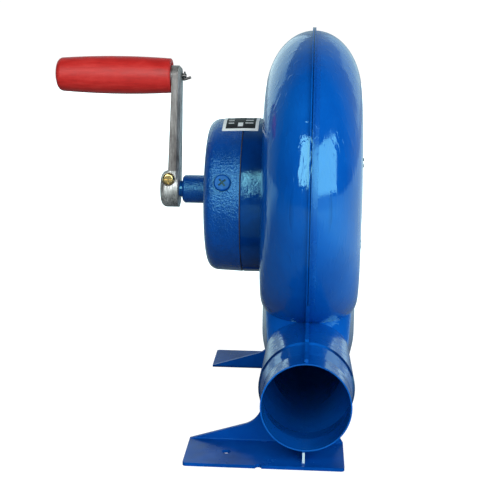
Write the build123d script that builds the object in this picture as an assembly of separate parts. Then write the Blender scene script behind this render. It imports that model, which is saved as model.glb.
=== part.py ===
"""Hand-cranked forge blower: the air supply of a small coal forge.

Two pressed steel half shells are hemmed together into a spiral fan casing with a round
outlet at the bottom front. A cast gearbox on the left side steps the crank's speed up by
two spur pairs and turns a riveted sheet-metal impeller. Two bent feet are welded below.

Design frame, in millimetres: X = 0 is the casing's seam plane, with the gearbox and the
crank at negative X and the air inlet at positive X. The fan shaft runs along X through
(Y = 0, Z = FAN_Z). The outlet points along -Y, and Z = 0 is the floor. On export every
piece moves by ORIGIN_SHIFT, which puts the origin under the middle of the bounding box.
"""

from build123d import *
from math import acos, asin, cos, degrees, hypot, pi, radians, sin, sqrt, tan
import os

# ---- Casing --------------------------------------------------------------------------
SHEET = 1.0  # thickness of the shells' steel
FAN_Z = 167.0  # height of the fan shaft and of the gearbox's own axis
SPIRAL_STEP = 14.0  # each quarter turn of the spiral is this much smaller in radius
SPIRAL_R = 152.0  # radius of the largest quarter, from the bottom to the back
HALF_WIDTH = 37.6  # the casing's outer half width
RIM_DEPTH = 49.0  # how far in from the rim the pressed elliptical edge reaches
TONGUE_DEPTH = 22.0  # the same at the spiral's end, where it meets the neck
TONGUE_TURN = 60.0  # degrees over which the one becomes the other
TONGUE_STEPS = 6  # sections along the last quarter
CORE_R = 20.0  # the last quarter's sections start at this radius
NECK_TOP = 79.0  # top of the outlet neck
NECK_START_Y = -60.0  # where the neck starts to turn from oval to round
WAIST = 31.4  # the neck's half width there
SHORT_WALL = 0.6  # straight sides between the neck's upper and lower arcs
TALL_WALL = 58.0  # the same under the fan, where they run into the scroll's flat side
PIPE_Z = 44.0  # height of the outlet's axis
NECK_END_Y = -113.0  # where the neck steps down to the spigot
NECK_R = 35.0
SPIGOT_R_BACK = 33.8  # spigot's outer radius just in front of the step
SPIGOT_R = 31.8  # spigot's outer radius at its straight front end
SPIGOT_TAPER_Y = -132.0  # the straight end starts here
MOUTH_Y = -152.0
STEP_LENGTH = 1.5
SPIGOT_BACK_Y = NECK_END_Y - STEP_LENGTH
HEM = 0.9  # thickness of each layer of the hemmed seam
HEM_HEIGHT = 2.4
HEM_INNER = 1.5  # height of the left shell's flange inside the hem
HEM_GAP = 0.4  # between the hem's turned edge and the left shell
HEM_MARGIN = 2.0  # the hem stops this far behind the mouth's edge
RIB_WIDTH = 1.9  # the doubled flange left standing below the spigot
TUBE_HOLE_R = 16.2  # hole in the left shell for the fan shaft's bearing tube
INLET_R = 38.0
SHELL_BOLT_R = 3.0
BOLT_CIRCLE_R = 52.5  # gearbox bolts, round the gearbox's axis
BOLT_ANGLES = (45, 135, 225, 315)

# ---- Feet ----------------------------------------------------------------------------
FOOT_SHEET = 2.5
FOOT_LEFT, FOOT_RIGHT = -85.0, 27.6
FOOT_DEPTH = 46.0
FRONT_WEB_Y = -110.0  # rear face of the front foot's web
REAR_WEB_Y = 56.0  # front face of the rear foot's web
FOOT_HOLE_R = 3.2
FOOT_HOLE_X = -56.0
FOOT_NOTCH_R = 2.2
FOOT_NOTCH_X = -32.0
NO_HEM_RISE = 6.0  # the hem is cut away under the spigot up to here
BEND_R = 3.5
FOOT_CORNER_R = 2.5
WEB_HOLLOW = ((-44.0, 15.0), (-36.0, 20.5), (-32.0, 32.0))  # (x, z) along its hollow edge
WEB_TOP = 48.0  # it runs up into the casing, which cuts it to shape
WEB_TOP_X = (-28.0, 24.0)
WEB_STEP = (20.0, 15.0)  # (x, z) where its right edge turns out to the flange
HEM_ROOM = 0.3  # between the foot and the casing's seam

# ---- Gearbox -------------------------------------------------------------------------
DRUM_R = 61.8
DRUM_WALL = 4.0
DRUM_FACE_X = -82.0
FACE_WALL = 5.0
SEAM_X = -53.5  # joint between the gearbox's cover and its base
GASKET = 0.6
SHOULDER_R = 9.0
DRAFT = 1.2  # the cover's radius falls by this much towards its face
BASE_WALL = 5.5
HUB_R = 11.4
HUB_END_X = -103.8
CRANK_Z = 171.0  # height of the crank shaft, 4 mm above the fan shaft
LAY_Z = 137.0  # height of the layshaft
CRANK_LUG_R = 10.5  # inside the cover, round the crank's bush
LAY_LUG_R = 8.5  # the same round the layshaft's bush
CRANK_LUG_X, LAY_LUG_X = -74.2, -74.4  # where those two end
LAY_POCKET_X = -80.2  # bottom of the layshaft's pocket in the cover
BASE_POCKET_X = -40.2  # and in the base
TUBE_START_X = -50.5  # gear end of the fan shaft's bearing tube
HUB_ROOT_R, HUB_EDGE = 3.0, 1.6
LUG_R = 5.6
BOLT_R = 2.5
PLUG_ANGLE = 163.0  # the oil plug faces the outlet side, a little above the middle
PLUG_X = -67.0
PLUG_R = 3.0
PLUG_HEAD_R = 6.4
PLUG_HEAD = 2.6
PLUG_CROSS = (6.8, 1.4)  # length and width of the recess
PLUG_CROSS_FLOOR = 1.1  # from the seat
PLUG_SEAT = 0.7  # depth of the flat seat under its head

# ---- Gears ---------------------------------------------------------------------------
MODULE = 1.0
PRESSURE = radians(20)
PINION_TEETH = 12
CRANK_TEETH = 56
LAY_TEETH = 48
PINION_ADDENDUM, PINION_DEDENDUM = 1.0, 1.0
WHEEL_ADDENDUM, WHEEL_DEDENDUM = 0.75, 1.25
BACKLASH = 0.12
FLANK_POINTS = 4
CRANK_GEAR_X = (-73.0, -66.0)
LAY_PINION_X = (-73.8, -65.2)
LAY_GEAR_X = (-60.0, -54.0)
FAN_PINION_X = (-61.0, -52.6)

# ---- Shafts --------------------------------------------------------------------------
RUN = 0.04  # radial clearance of a shaft in its bush
CRANK_SHAFT_R = 6.5
CRANK_BUSH_R = 8.6
LAY_SHAFT_R = 4.0
LAY_BUSH_R = 6.0
FAN_SHAFT_R = 5.0
FAN_BUSH_R = 8.0
TUBE_R = 14.0
TUBE_END_X = -21.0
FAN_BUSH_LENGTH = 11.0

# ---- Impeller ------------------------------------------------------------------------
FAN_R = 88.0
BACKPLATE_X = -17.0
BACKPLATE = 1.5
BLADES = 8
BLADE = 1.0
BLADE_ROOT_R = 27.0
BLADE_TIP_R = 86.0
BLADE_ROOT_X, BLADE_TIP_X = 24.0, 16.0
BLADE_LEAN = 18.0  # degrees that a blade lags behind the radius at its tip
BLADE_TAB = 9.0
RIVET_R = 1.6
RIVET_HEAD_R = 2.9
FAN_HUB_R = 11.0
FAN_FLANGE_R = 22.0
FAN_HUB_END_X = 1.0
SHAFT_END_X = 11.0

# ---- Inlet ---------------------------------------------------------------------------
RING_R = 50.0
RING_SHEET = 1.2
RING_SCREW_CIRCLE = 45.0
BELL_INSET, BELL_DEPTH = 2.6, 5.5  # the ring's rolled-in bell, inside the casing's hole
BELL_ROUND = 1.1

# ---- Crank and grip ------------------------------------------------------------------
ARM_IN_BOTTOM, ARM_IN_TOP = -106.9, -104.7  # X of the arm's inner face
ARM_OUT_BOTTOM, ARM_OUT_TOP = -116.0, -112.1
ARM_BEVEL = 2.2  # along the inner face's two long edges
ARM_FOOT_R = 13.0
BOSS_R = 14.9
BOSS_OUT_X = -121.4
EYE_R = 8.2
GRIP_Z = 261.5
SPINDLE_R = 4.0
CLAMP_Z = 180.4
CLAMP_R = 2.5
CLAMP_X = -114.4
CLAMP_FLAT = 10.2  # half the boss's width under the clamp bolt's head and nut
CLAMP_SEAT_R = 5.4
CLAMP_HEAD_R = 4.8
SLIT = 1.4
GRIP_END_X, GRIP_HEAD_X = -204.4, -112.8
GRIP_R_MIDDLE, GRIP_R_ENDS = 14.9, 13.6
GRIP_CORNER = 5.0
GRIP_CAP = 14.0  # solid end of the grip beyond its bore
GRIP_RECESS = 1.6  # depth of the seat for the washer in the grip's inner end
TAIL_R = 2.0  # the spindle's thin end, inside the arm
SPINDLE_END_X = -101.2
PIN_X = -103.0  # split pin's place along the spindle
PIN_R = 1.0
PIN_LEAN = 24.0  # degrees by which the pin's front end hangs
PIN_FRONT, PIN_BACK = 7.2, 3.4  # from the spindle's axis to the ends of its straight part
PIN_LEGS = (6.2, -0.6, 2.2)  # where the bent legs end, from the front end
PIN_EYE_R = 1.2
PIN_EYE_WIRE_R = 0.6

# ---- Label ---------------------------------------------------------------------------
LABEL_X = (-70.0, -42.0)
LABEL_FROM, LABEL_TO = 70.0, 118.0  # degrees round the gearbox from the back, top at 90
LABEL = 0.35

# ---- Where the origin goes -----------------------------------------------------------
SCREW_HEAD = 1.2
SCREW_HEAD_R, SCREW_HEAD_ROUND = 3.9, 0.8
SCREW_R = 1.75
SCREW_LENGTH = 6.0
SCREW_CROSS = (4.8, 1.0)  # length and width of the recess
SCREW_CROSS_FLOOR = 0.5
SCREW_HOLE_R, SCREW_CLEAR_R = 1.8, 2.0  # in the casing, and in the ring
NEAR = 0.01  # how close counts as the same place when edges are picked
# Gears' webs and shafts
WEB_RECESS = 1.6  # depth of the ring turned into each face of the crank wheel
WEB_RECESS_R = (23.0, 11.5)
CRANK_HOLES = (4.2, 17.2)  # radius and circle of the six lightening holes
LAY_HOLES = (4.0, 14.2)  # the same of the five in the layshaft wheel
LAY_SHAFT_X = (-79.6, -40.6)
LAY_SHOULDER_X = -50.6
LAY_SHOULDER = 1.2  # how much thicker the layshaft is where the wheel sits
FAN_SHAFT_X = -62.0
FAN_THREAD_R = 4.0
SHAFT_EDGE = 0.8

# Gearbox details
DRUM_CORNER = 4.0  # inside the cover, between face and wall
BOSS_GAP = 3.0  # from the cover's face to the start of the bolt bosses
BORE_END_X, BOLT_HOLE_X = -70.0, -68.0
BASE_STEP, BASE_EDGE = 0.6, 0.7
SCREW_GAP = 0.05  # between a shank and its hole
BOLT_GAP = 0.3
BOLT_END_X, BOLT_HEAD, BOLT_FLATS = -66.0, 3.5, 8.0
PLUG_SHANK, PLUG_ROUND, PLUG_CROSS_TURN = 5.5, 1.4, 40.0

# Impeller details
FLANGE_THICKNESS = 2.5
HUB_RIVET_CIRCLE = 17.0
HUB_RIVET_ANGLES = (45, 135, 225, 315)
RIVET_HEAD, RIVET_ROUND = 1.2, 0.8
RIVET_SHARES = (0.2, 0.78)  # the rivets' places along a tab
RIVET_IN_TAB = 0.55  # and across it
FAN_WASHER, FAN_WASHER_R = 1.2, 8.5

# Crank and grip details
SHAFT_SUNK, SHAFT_PAST, SHAFT_BEVEL = 1.5, 0.6, 0.6
BOSS_ROUND = 5.0
SLIT_DEPTH = 19.0  # from the shaft's axis up
ARM_BEND = 6.0  # the arm's faces turn parallel this far below the spindle
CLAMP_PAST, CLAMP_HEAD, CLAMP_ROUND = 5.5, 3.8, 1.9
CLAMP_CROSS, CLAMP_CROSS_FLOOR = (6.4, 1.1), 2.6
NUT_FLATS, NUT_HEIGHT = 8.0, 4.0
GRIP_SEAT_R = (10.6, 10.2)
GRIP_EDGE = 0.8
GRIP_END_DROP = 0.3  # the outer end is this much thinner
GRIP_NOSE = (1.3, 1.6)  # middle of the rounded outer corner
GRIP_WASHER_R = 8.4
PIN_BEND_R = 1.4

# Overall box
X_MIN = GRIP_END_X
X_MAX = HALF_WIDTH + RING_SHEET + SCREW_HEAD
Y_MIN = FRONT_WEB_Y - FOOT_DEPTH
Y_MAX = SPIRAL_STEP / 2 + SPIRAL_R - SPIRAL_STEP + HEM_HEIGHT
ORIGIN_SHIFT = Vector(-(X_MIN + X_MAX) / 2, -(Y_MIN + Y_MAX) / 2, 0)


# ---- Helpers -------------------------------------------------------------------------
def rod(x0, x1, radius, y=0.0, z=FAN_Z):
    """A round bar along X."""
    plane = Plane(origin=(min(x0, x1), y, z), x_dir=(0, 1, 0), z_dir=(1, 0, 0))
    return extrude(plane * Circle(radius), amount=abs(x1 - x0))


def ring(x0, x1, outer, inner, y=0.0, z=FAN_Z):
    """A tube along X."""
    return rod(x0, x1, outer, y, z) - rod(min(x0, x1) - 1, max(x0, x1) + 1, inner, y, z)


def block(x0, x1, y0, y1, z0, z1):
    """A box between two corners."""
    centre = ((x0 + x1) / 2, (y0 + y1) / 2, (z0 + z1) / 2)
    return Pos(*centre) * Box(abs(x1 - x0), abs(y1 - y0), abs(z1 - z0))


def turned(points, y=0.0, z=FAN_Z):
    """Turns an outline of (x, radius) points about the X line through (y, z)."""
    plane = Plane(origin=(0, y, z), x_dir=(1, 0, 0), z_dir=(0, 0, 1))
    face = make_face(Polyline(*points, close=True))
    return revolve(plane * face, Axis((0, y, z), (1, 0, 0)), 360)


def side_face(points):
    """A face in the plane X = 0 from (y, z) points."""
    return Plane.YZ * make_face(Polyline(*points, close=True))


def around(angle, radius, z=FAN_Z):
    """The (y, z) of a point at an angle from +Y towards +Z about an X line."""
    return radius * cos(radians(angle)), z + radius * sin(radians(angle))


def hexagon_bar(x0, x1, flats, y, z):
    """A hexagonal bar along X, for nuts."""
    plane = Plane(origin=(min(x0, x1), y, z), x_dir=(0, 1, 0), z_dir=(1, 0, 0))
    return extrude(plane * RegularPolygon(flats / sqrt(3), 6), amount=abs(x1 - x0))


# ---- Casing --------------------------------------------------------------------------
def quarters():
    """Centre (y, z), radius and start angle of the spiral's four quarters."""
    half = SPIRAL_STEP / 2
    centres = ((-half, -half), (half, -half), (half, half), (-half, half))
    for turn, (y, z) in enumerate(centres):
        yield (y, FAN_Z + z), SPIRAL_R - turn * SPIRAL_STEP, -90 + 90 * turn


def quarter_section(centre, angle, radius, inset, depth, core):
    """The scroll's section at an angle: straight sides and a half-elliptical rim."""
    width = HALF_WIDTH - inset
    rim = radius - inset
    flat = rim - depth + inset
    a = radians(angle)
    plane = Plane(origin=(0, *centre), x_dir=(1, 0, 0), z_dir=(0, -sin(a), cos(a)))
    outline = [
        Line((-width, core), (width, core)),
        Line((width, core), (width, flat)),
        EllipticalCenterArc((0, flat), width, depth - inset, 0, arc_size=180),
        Line((-width, flat), (-width, core)),
    ]
    return plane * make_face(outline)


def last_quarter(centre, start, radius, inset):
    """The spiral's last quarter, whose rim grows squarer towards the neck."""
    sections = []
    for step in range(TONGUE_STEPS + 1):
        turn = 90 * step / TONGUE_STEPS
        share = min(1, turn / TONGUE_TURN)
        ease = share * share * (3 - 2 * share)
        depth = RIM_DEPTH + (TONGUE_DEPTH - RIM_DEPTH) * ease
        sections.append(quarter_section(centre, start + turn, radius, inset, depth, CORE_R))
    width = HALF_WIDTH - inset
    core = rod(-width, width, CORE_R + 1, *centre)
    return loft(sections) + core


def scroll(inset):
    """The spiral part of the casing as a solid, its skin moved in by inset."""
    width = HALF_WIDTH - inset
    half = SPIRAL_STEP / 2
    body = block(-width, width, -half, half, FAN_Z - half, FAN_Z + half)
    turns = list(quarters())
    for centre, radius, start in turns[:-1]:
        section = quarter_section(centre, start, radius, inset, RIM_DEPTH, 0)
        body += revolve(section, Axis((0, *centre), (1, 0, 0)), 90)
    centre, radius, start = turns[-1]
    return body + last_quarter(centre, start, radius, inset)


def oval(y, inset, wall, half_width):
    """The neck's section where it leaves the scroll, with straight sides wall high."""
    low = FAN_Z - SPIRAL_STEP / 2 - SPIRAL_R
    depth = RIM_DEPTH - inset
    width = half_width - inset
    middle = low + RIM_DEPTH
    top = middle + wall
    crown = NECK_TOP - middle - SHORT_WALL - inset
    plane = Plane(origin=(0, y, 0), x_dir=(1, 0, 0), z_dir=(0, -1, 0))
    edges = [
        EllipticalCenterArc((0, top), width, crown, 0, arc_size=180),
        Line((-width, top), (-width, middle)),
        EllipticalCenterArc((0, middle), width, depth, 180, arc_size=180),
        Line((width, middle), (width, top)),
    ]
    return plane * make_face(edges)


def round_section(y, inset):
    """The neck's section where it has become round."""
    plane = Plane(origin=(0, y, PIPE_Z), x_dir=(1, 0, 0), z_dir=(0, -1, 0))
    radius = NECK_R - inset
    rise = asin(SHORT_WALL / 2 / radius)
    turn = degrees(rise)
    side, half = radius * cos(rise), SHORT_WALL / 2
    edges = [
        CenterArc((0, 0), radius, turn, 180 - 2 * turn),
        Line((-side, half), (-side, -half)),
        CenterArc((0, 0), radius, 180 + turn, 180 - 2 * turn),
        Line((side, -half), (side, half)),
    ]
    return plane * make_face(edges)


def neck(inset):
    """The outlet neck and its stepped spigot as a solid, its skin moved in by inset."""
    start = oval(NECK_START_Y, inset, SHORT_WALL, WAIST)
    tall = oval(-SPIRAL_STEP / 2, inset, TALL_WALL, HALF_WIDTH)
    ramp = loft([tall, start], ruled=True)
    to_round = loft([start, round_section(NECK_END_Y, inset)], ruled=True)
    overrun = MOUTH_Y - (5 if inset else 0)
    outline = [
        (0, NECK_END_Y),
        (NECK_R - inset, NECK_END_Y),
        (SPIGOT_R_BACK - inset, NECK_END_Y - STEP_LENGTH),
        (SPIGOT_R - inset, SPIGOT_TAPER_Y),
        (SPIGOT_R - inset, overrun),
        (0, overrun),
    ]
    plane = Plane(origin=(0, 0, PIPE_Z), x_dir=(1, 0, 0), z_dir=(0, 0, 1))
    spigot = revolve(
        plane * make_face(Polyline(*outline, close=True)),
        Axis((0, 0, PIPE_Z), (0, 1, 0)),
        360,
    )
    return ramp + to_round + spigot


def rim_outline():
    """The casing's outline in the seam plane, as one face."""
    half = SPIRAL_STEP / 2
    face = Plane.YZ * Pos(0, FAN_Z) * Rectangle(SPIRAL_STEP, SPIRAL_STEP)
    for (y, z), radius, start in quarters():
        first = around(start, radius, z)
        last = around(start + 90, radius, z)
        arc = CenterArc((y, z), radius, start, 90)
        edges = [
            Line((y, z), (y + first[0], first[1])),
            arc,
            Line((y + last[0], last[1]), (y, z)),
        ]
        face += Plane.YZ * make_face(edges)
    low = FAN_Z - half - SPIRAL_R
    steps = [
        (-half, low),
        (NECK_START_Y, low),
        (NECK_END_Y, PIPE_Z - NECK_R),
        (NECK_END_Y - STEP_LENGTH, PIPE_Z - SPIGOT_R_BACK),
        (SPIGOT_TAPER_Y, PIPE_Z - SPIGOT_R),
        (MOUTH_Y, PIPE_Z - SPIGOT_R),
        (MOUTH_Y, PIPE_Z + SPIGOT_R),
        (SPIGOT_TAPER_Y, PIPE_Z + SPIGOT_R),
        (NECK_END_Y - STEP_LENGTH, PIPE_Z + SPIGOT_R_BACK),
        (NECK_END_Y, NECK_TOP),
        (-half, NECK_TOP),
    ]
    return face + side_face(steps)


def rim_disc(outline, height, x0, x1):
    """The seam-plane outline grown by height, from x0 to x1, kept behind the mouth."""
    disc = extrude(Pos(x0, 0, 0) * offset(outline, height), amount=x1 - x0, dir=(1, 0, 0))
    front = MOUTH_Y + HEM_MARGIN
    return disc - block(x0 - 1, x1 + 1, front - 20, front, 0, 200)


def seam_rib():
    """The flange left standing below the spigot, in front of the front foot's web."""
    return block(-RIB_WIDTH, 0, MOUTH_Y + HEM_MARGIN, SPIGOT_BACK_Y, FOOT_SHEET,
                 PIPE_Z - SPIGOT_R + 3)


def shells():
    """The casing's sheet nodes by name, its full outer solid and its outline."""
    outer = scroll(0) + neck(0)
    cavity = scroll(SHEET) + neck(SHEET)
    outline = rim_outline()
    hem = rim_disc(outline, HEM_HEIGHT, -2 * HEM, HEM)
    hem -= rim_disc(outline, HEM_INNER, -HEM, 0)
    hem -= rim_disc(outline, HEM_GAP, -3 * HEM, -HEM)
    flange = rim_disc(outline, HEM_INNER, -HEM, 0)
    hem_end = PIPE_Z - NECK_R + NO_HEM_RISE
    no_hem = block(-5, 5, MOUTH_Y - 5, FRONT_WEB_Y - FOOT_SHEET, 0, hem_end)
    left = (outer & block(-60, 0, -200, 200, -10, 400)) + (flange - no_hem) + seam_rib()
    right = (outer & block(0, 60, -200, 200, -10, 400)) + (hem - no_hem)
    left -= cavity + rod(-40, -30, TUBE_HOLE_R)
    for angle in BOLT_ANGLES:
        left -= rod(-40, -30, SHELL_BOLT_R, *around(angle, BOLT_CIRCLE_R))
    right -= cavity + rod(30, 40, INLET_R)
    for angle in BOLT_ANGLES:
        right -= rod(30, 40, SCREW_HOLE_R, *around(angle, RING_SCREW_CIRCLE))
    front = block(-60, 60, MOUTH_Y - 20, SPIGOT_BACK_Y, -10, NECK_TOP + 5)
    nodes = {
        "casing_shell_gear_side": left - front,
        "casing_shell_inlet_side": right - front,
        "outlet_spigot_gear_side": left & front,
        "outlet_spigot_inlet_side": right & front,
    }
    return nodes, outer, outline


def foot(casing, hem_face, web_y, forward):
    """One bent foot. forward is -1 where its flange points to -Y, and +1 to +Y."""
    web_far = web_y + forward * FOOT_SHEET
    tip = web_y + forward * FOOT_DEPTH
    flange = block(FOOT_LEFT, FOOT_RIGHT, web_y, tip, 0, FOOT_SHEET)
    plane = Plane(origin=(0, web_y, 0), x_dir=(1, 0, 0), z_dir=(0, -1, 0))
    low = FOOT_SHEET / 2
    start, turn, end = WEB_HOLLOW
    top_left, top_right = ((x, WEB_TOP) for x in WEB_TOP_X)
    straight = Polyline(end, top_left, top_right, WEB_STEP, (FOOT_RIGHT, FOOT_SHEET),
                        (FOOT_RIGHT, low), (FOOT_LEFT, low), (FOOT_LEFT, FOOT_SHEET), start)
    outline = [ThreePointArc(start, turn, end), straight]
    web = extrude(plane * make_face(outline), amount=FOOT_SHEET, dir=(0, forward, 0))
    piece = flange + web
    bend = piece.edges().filter_by(Axis.X).filter_by(
        lambda e: abs(e.center().Y - web_y) < NEAR and abs(e.center().Z) < NEAR
    )
    piece = fillet(bend, BEND_R)
    inner = piece.edges().filter_by(Axis.X).filter_by(
        lambda e: abs(e.center().Y - web_far) < NEAR and abs(e.center().Z - FOOT_SHEET) < NEAR
    )
    piece = fillet(inner, BEND_R - FOOT_SHEET)
    corners = piece.edges().filter_by(Axis.Z).filter_by(
        lambda e: abs(e.center().Y - tip) < NEAR
    )
    piece = fillet(corners, FOOT_CORNER_R)
    middle = web_y + forward * (FOOT_DEPTH + FOOT_SHEET) / 2
    piece -= Pos(FOOT_HOLE_X, middle, 0) * Cylinder(FOOT_HOLE_R, 20)
    piece -= Pos(FOOT_NOTCH_X, tip, 0) * Cylinder(FOOT_NOTCH_R, 20)
    piece -= casing
    seam = 3 * HEM + 2 * HEM_ROOM
    piece -= extrude(Pos(-2 * HEM - HEM_ROOM, 0, 0) * hem_face, amount=seam, dir=(1, 0, 0))
    return piece.solids().sort_by(SortBy.VOLUME)[-1]


# ---- Gears ---------------------------------------------------------------------------
def gear_face(teeth, addendum, dedendum):
    """A spur gear's outline as a face in the local XY plane, a tooth on local +X."""
    pitch_r = MODULE * teeth / 2
    base_r = pitch_r * cos(PRESSURE)
    tip_r = pitch_r + addendum * MODULE
    root_r = pitch_r - dedendum * MODULE
    half_tooth = (pi * MODULE / 2 - BACKLASH / 2) / 2 / pitch_r
    roll = tan(PRESSURE) - PRESSURE
    flank = []
    start_r = max(base_r, root_r)
    for step in range(FLANK_POINTS):
        r = start_r + (tip_r - start_r) * step / (FLANK_POINTS - 1)
        a = acos(min(1, base_r / r))
        flank.append((r, half_tooth + roll - (tan(a) - a)))
    if root_r < base_r:
        flank.insert(0, (root_r, flank[0][1]))
    points = []
    for tooth in range(teeth):
        middle = 2 * pi * tooth / teeth
        points += [(r, middle - turn) for r, turn in flank]
        points += [(r, middle + turn) for r, turn in reversed(flank)]
    polygon = Polyline(*[(r * cos(t), r * sin(t)) for r, t in points], close=True)
    return make_face(polygon)


def gear(x_range, teeth, addendum, dedendum, z, turn):
    """A spur gear on the X line at height z. turn is its first tooth's angle from +Y."""
    x0, x1 = x_range
    plane = Plane(origin=(x0, 0, z), x_dir=(0, 1, 0), z_dir=(1, 0, 0))
    face = gear_face(teeth, addendum, dedendum)
    return extrude(plane * Rot(0, 0, turn) * face, amount=x1 - x0)


def wheel_turn(teeth):
    """Angle that puts a space of an upper wheel straight down, at 270 degrees."""
    pitch = 360 / teeth
    return (270 - pitch / 2) % pitch


def crank_wheel():
    """The large wheel on the crank shaft, lightened by holes."""
    body = gear(CRANK_GEAR_X, CRANK_TEETH, WHEEL_ADDENDUM, WHEEL_DEDENDUM, CRANK_Z,
                wheel_turn(CRANK_TEETH))
    x0, x1 = CRANK_GEAR_X
    body -= ring(x0 - 1, x0 + WEB_RECESS, *WEB_RECESS_R, 0, CRANK_Z)
    body -= ring(x1 - WEB_RECESS, x1 + 1, *WEB_RECESS_R, 0, CRANK_Z)
    hole_r, circle = CRANK_HOLES
    for angle in range(30, 390, 60):
        body -= rod(x0 - 1, x1 + 1, hole_r, *around(angle, circle, CRANK_Z))
    return body - rod(x0 - 1, x1 + 1, CRANK_SHAFT_R, 0, CRANK_Z)


def lay_wheel():
    """The large wheel on the layshaft. It drives the fan pinion above it."""
    x0, x1 = LAY_GEAR_X
    pitch = 360 / LAY_TEETH
    body = gear(LAY_GEAR_X, LAY_TEETH, WHEEL_ADDENDUM, WHEEL_DEDENDUM, LAY_Z,
                90 % pitch)
    hole_r, circle = LAY_HOLES
    for angle in range(0, 360, 72):
        body -= rod(x0 - 1, x1 + 1, hole_r, *around(angle, circle, LAY_Z))
    return body - rod(x0 - 1, x1 + 1, LAY_SHAFT_R + LAY_SHOULDER, 0, LAY_Z)


def lay_shaft():
    """The layshaft with its pinion cut in one piece."""
    body = rod(*LAY_SHAFT_X, LAY_SHAFT_R, 0, LAY_Z)
    body += gear(LAY_PINION_X, PINION_TEETH, PINION_ADDENDUM, PINION_DEDENDUM, LAY_Z, 90)
    shoulder_r = LAY_SHAFT_R + LAY_SHOULDER
    return body + rod(LAY_PINION_X[1], LAY_SHOULDER_X, shoulder_r, 0, LAY_Z)


def fan_shaft():
    """The fan shaft with its pinion cut in one piece."""
    turn = 270 - 180 / PINION_TEETH
    body = gear(FAN_PINION_X, PINION_TEETH, PINION_ADDENDUM, PINION_DEDENDUM, FAN_Z, turn)
    body += rod(FAN_SHAFT_X, SHAFT_END_X, FAN_SHAFT_R)
    nut_zone = rod(FAN_HUB_END_X + FAN_WASHER, SHAFT_END_X, FAN_SHAFT_R + 1)
    nut_zone -= rod(FAN_HUB_END_X, SHAFT_END_X + 1, FAN_THREAD_R)
    return chamfer(body.faces().sort_by(Axis.X)[-1].edges(), SHAFT_EDGE) - nut_zone


# ---- Gearbox -------------------------------------------------------------------------
def cover_radius(x):
    """The cover's outer radius, which falls with its draft towards the face."""
    return DRUM_R - DRAFT * (SEAM_X - x) / (SEAM_X - DRUM_FACE_X)


def gearbox_cover():
    """The cast cover: a cup with the crank's hub on its face."""
    inner = DRUM_R - DRUM_WALL
    rim = SEAM_X - GASKET
    front = DRUM_FACE_X
    body = turned([(front, 0), (front, cover_radius(front)), (rim, cover_radius(rim)),
                   (rim, 0)])
    outer_edge = body.edges().filter_by(GeomType.CIRCLE).sort_by(Axis.X)[0]
    body = fillet(outer_edge, SHOULDER_R)
    cavity = turned([(front + FACE_WALL, 0), (front + FACE_WALL, inner - DRUM_CORNER),
                     (front + FACE_WALL + DRUM_CORNER, inner - DRAFT), (rim + 1, inner),
                     (rim + 1, 0)])
    body -= cavity
    hub = rod(HUB_END_X, front + 1, HUB_R, 0, CRANK_Z)
    hub = chamfer(hub.faces().sort_by(Axis.X)[0].edges(), HUB_EDGE)
    body += hub
    root = body.edges().filter_by(GeomType.CIRCLE).filter_by(
        lambda e: abs(e.radius - HUB_R) < NEAR and abs(e.center().X - front) < NEAR
    )
    body = fillet(root, HUB_ROOT_R)
    body += rod(front + 1, CRANK_LUG_X, CRANK_LUG_R, 0, CRANK_Z)
    body += rod(front + 1, LAY_LUG_X, LAY_LUG_R, 0, LAY_Z)
    for angle in BOLT_ANGLES:
        y, z = around(angle, BOLT_CIRCLE_R)
        body += rod(front + BOSS_GAP, rim, LUG_R, y, z)
    body -= rod(HUB_END_X - 1, BORE_END_X, CRANK_BUSH_R, 0, CRANK_Z)
    body -= rod(LAY_POCKET_X, BORE_END_X, LAY_BUSH_R, 0, LAY_Z)
    for angle in BOLT_ANGLES:
        y, z = around(angle, BOLT_CIRCLE_R)
        body -= rod(BOLT_HOLE_X, rim + 1, BOLT_R, y, z)
    return body - plug_hole()


def radial(angle, r0, r1, radius, x):
    """A round bar along a radius of the gearbox."""
    a = radians(angle)
    direction = Vector(0, cos(a), sin(a))
    origin = Vector(x, 0, FAN_Z) + direction * r0
    plane = Plane(origin=origin, x_dir=(1, 0, 0), z_dir=direction)
    return extrude(plane * Circle(radius), amount=r1 - r0)


def plug_hole():
    """The oil plug's hole with a flat seat for its head."""
    seat = cover_radius(PLUG_X) - PLUG_SEAT
    hole = radial(PLUG_ANGLE, 50, 70, PLUG_R, PLUG_X)
    return hole + radial(PLUG_ANGLE, seat, seat + 10, PLUG_HEAD_R + PLUG_SEAT, PLUG_X)


def oil_plug():
    """A cross-recessed pan-head screw that closes the oil hole."""
    seat = cover_radius(PLUG_X) - PLUG_SEAT
    shank = radial(PLUG_ANGLE, seat - PLUG_SHANK, seat, PLUG_R - SCREW_GAP, PLUG_X)
    head = radial(PLUG_ANGLE, seat, seat + PLUG_HEAD, PLUG_HEAD_R, PLUG_X)
    head = fillet(head.faces().sort_by(Axis.Y)[0].edges(), PLUG_ROUND)
    a = radians(PLUG_ANGLE)
    direction = Vector(0, cos(a), sin(a))
    plane = Plane(origin=Vector(PLUG_X, 0, FAN_Z) + direction * (seat + PLUG_CROSS_FLOOR),
                  x_dir=(1, 0, 0), z_dir=direction)
    long, wide = PLUG_CROSS
    cross = Rectangle(long, wide) + Rectangle(wide, long)
    return shank + head - extrude(plane * Rot(0, 0, PLUG_CROSS_TURN) * cross, amount=PLUG_HEAD)


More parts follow.
